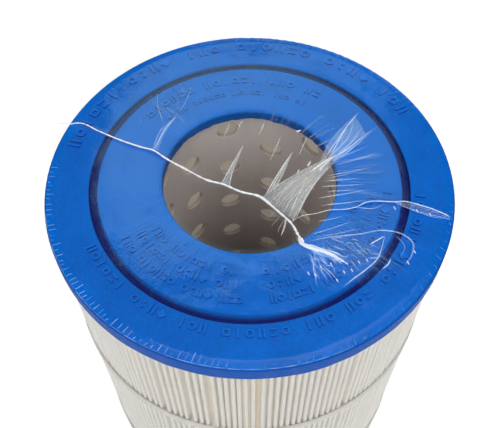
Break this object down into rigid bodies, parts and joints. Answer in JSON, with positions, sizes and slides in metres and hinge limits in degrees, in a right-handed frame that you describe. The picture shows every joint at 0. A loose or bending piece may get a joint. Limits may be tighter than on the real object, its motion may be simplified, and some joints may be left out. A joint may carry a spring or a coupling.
{
  "type": "pleated filter cartridge",
  "caption": "Cylindrical pleated filter cartridge with blue end caps, a central through bore, a perforated core, bands and clear shrink wrap.",
  "frame": {"origin": "centre of the bottom end cap's face, which the cartridge stands on", "axes": "+Z along the cartridge's axis, out through the top end cap; X and Y across it, with +X to the right and +Y away from the side that the picture shows"},
  "size_m": [0.1788, 0.1788, 0.5763],
  "materials": {
    "cap_blue": "moulded polyurethane, satin",
    "core_plastic": "moulded, slightly translucent off-white",
    "pleat_fabric": "spunbonded polyester",
    "seam_bead": "hot-melt bead",
    "band_plastic": "flat extruded band",
    "clear_film": "clear glossy shrink film"
  },
  "bodies": {
    "root": {"top_end_cap": "cap_blue", "bottom_end_cap": "cap_blue", "core_tube": "core_plastic", "pleated_media": "pleat_fabric", "media_seam": "seam_bead", "shrink_wrap": "clear_film", "band_1": "band_plastic", "band_2": "band_plastic", "band_3": "band_plastic", "band_4": "band_plastic", "band_5": "band_plastic"}
  },
  "joints": []
}
